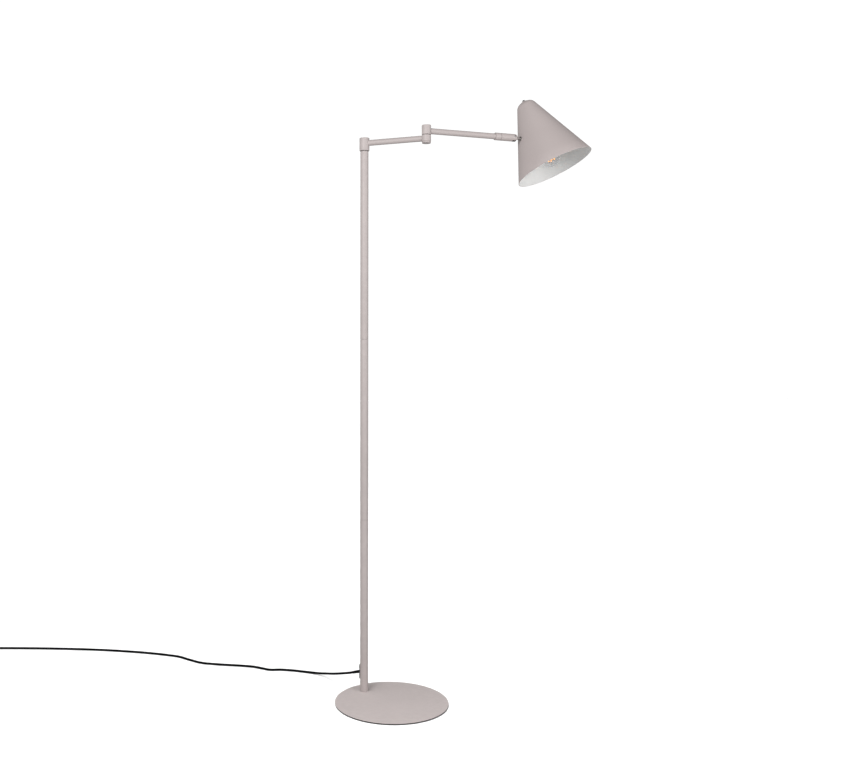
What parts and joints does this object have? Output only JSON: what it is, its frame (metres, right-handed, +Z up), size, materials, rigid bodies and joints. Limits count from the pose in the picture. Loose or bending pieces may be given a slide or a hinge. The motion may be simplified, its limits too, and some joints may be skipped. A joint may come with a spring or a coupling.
{
  "type": "floor lamp",
  "caption": "Slim floor-standing reading lamp with a round base, an offset post, two level swinging arms and a tilting cone shade with a push switch on its top",
  "frame": {"origin": "centre of the base's underside, on the floor", "axes": "+Z up; +X to the right and +Y away as seen from the front, with the post behind and to the left of the base's centre"},
  "size_m": [1.594, 0.6426, 1.3479],
  "materials": {
    "taupe_paint": "matt fine-texture powder coat, warm taupe grey",
    "shade_paint": "spun aluminium, matt taupe powder coat outside and satin white inside",
    "pad_rubber": "thin black foam rubber",
    "cable_rubber": "matt black flexible sheath",
    "black_plastic": "matt black moulded plastic",
    "button_plastic": "smooth black plastic",
    "pin_brass": "plain turned",
    "clear_glass": "clear blown glass",
    "filament_coating": "amber silicone coating",
    "cap_nickel": "nickel-plated screw cap",
    "knuckle_steel": "turned steel, slightly darkened",
    "fitting_steel": "zinc-plated turned steel"
  },
  "bodies": {
    "stand": {"base_plate": "taupe_paint", "base_pad": "pad_rubber", "foot_bolt": "fitting_steel", "post_foot": "fitting_steel", "post_tube_lower": "taupe_paint", "post_tube_middle": "taupe_paint", "post_tube_upper": "taupe_paint", "post_coupler_lower": "fitting_steel", "post_coupler_upper": "fitting_steel", "post_wire": "cable_rubber", "cable_grommet": "black_plastic", "strain_relief": "cable_rubber", "post_bush": "fitting_steel", "post_washer": "black_plastic", "post_spindle": "fitting_steel", "cable": "cable_rubber", "cable_coil": "cable_rubber", "cable_tail": "cable_rubber", "plug_body": "black_plastic", "plug_pin_a": "pin_brass", "plug_pin_b": "pin_brass"},
    "first_arm": {"arm1_collar": "taupe_paint", "arm1_collar_cap": "taupe_paint", "arm1_tube": "taupe_paint", "arm1_spigot_post": "fitting_steel", "arm1_spigot_elbow": "fitting_steel", "arm1_wire": "cable_rubber", "elbow_lower_collar": "taupe_paint", "elbow_nut": "taupe_paint", "elbow_washer": "black_plastic", "elbow_spindle": "fitting_steel"},
    "second_arm": {"elbow_upper_collar": "taupe_paint", "elbow_cap": "taupe_paint", "arm2_tube": "taupe_paint", "arm2_spigot": "fitting_steel", "arm2_wire": "cable_rubber", "arm2_ferrule": "taupe_paint", "arm2_end_plug": "fitting_steel", "head_spindle": "fitting_steel"},
    "swivel": {"swivel_sleeve": "taupe_paint", "hinge_pin": "fitting_steel"},
    "head": {"knuckle": "knuckle_steel", "stem_washer": "knuckle_steel", "stem_nut": "fitting_steel", "shade": "shade_paint", "switch_body": "black_plastic", "switch_nut": "taupe_paint", "holder_stem": "fitting_steel", "lamp_holder": "black_plastic", "holder_ring": "black_plastic", "bulb_cap": "cap_nickel", "bulb_glass": "clear_glass", "bulb_stem": "clear_glass", "bulb_filament_1": "filament_coating", "bulb_filament_2": "filament_coating", "bulb_filament_3": "filament_coating", "bulb_filament_4": "filament_coating"},
    "button": {"switch_button": "button_plastic"}
  },
  "joints": [
    {"name": "arm1_swivel", "type": "hinge", "parent": "stand", "child": "first_arm", "pos_m": [-0.05923, 0.06441, 1.2388], "axis": [0, 0, 1], "range_deg": [-165, 165]},
    {"name": "arm2_swivel", "type": "hinge", "parent": "first_arm", "child": "second_arm", "pos_m": [0.07443, 0.0147, 1.25465], "axis": [0, 0, 1], "range_deg": [-178.6, 101.4]},
    {"name": "head_swivel", "type": "hinge", "parent": "second_arm", "child": "swivel", "pos_m": [0.27611, 0.08101, 1.25465], "axis": [0.95, 0.3123, 0], "range_deg": [-134.7, 165.3]},
    {"name": "head_tilt", "type": "hinge", "parent": "swivel", "child": "head", "pos_m": [0.27611, 0.08101, 1.25465], "axis": [-0.3013, 0.9163, -0.2639], "range_deg": [-3.4, 81.6]},
    {"name": "button_press", "type": "slide", "parent": "head", "child": "button", "axis": [0.3978, -0.1307, -0.9081], "range_m": [0, 0.0016], "stiffness_N_per_m": 600}
  ]
}
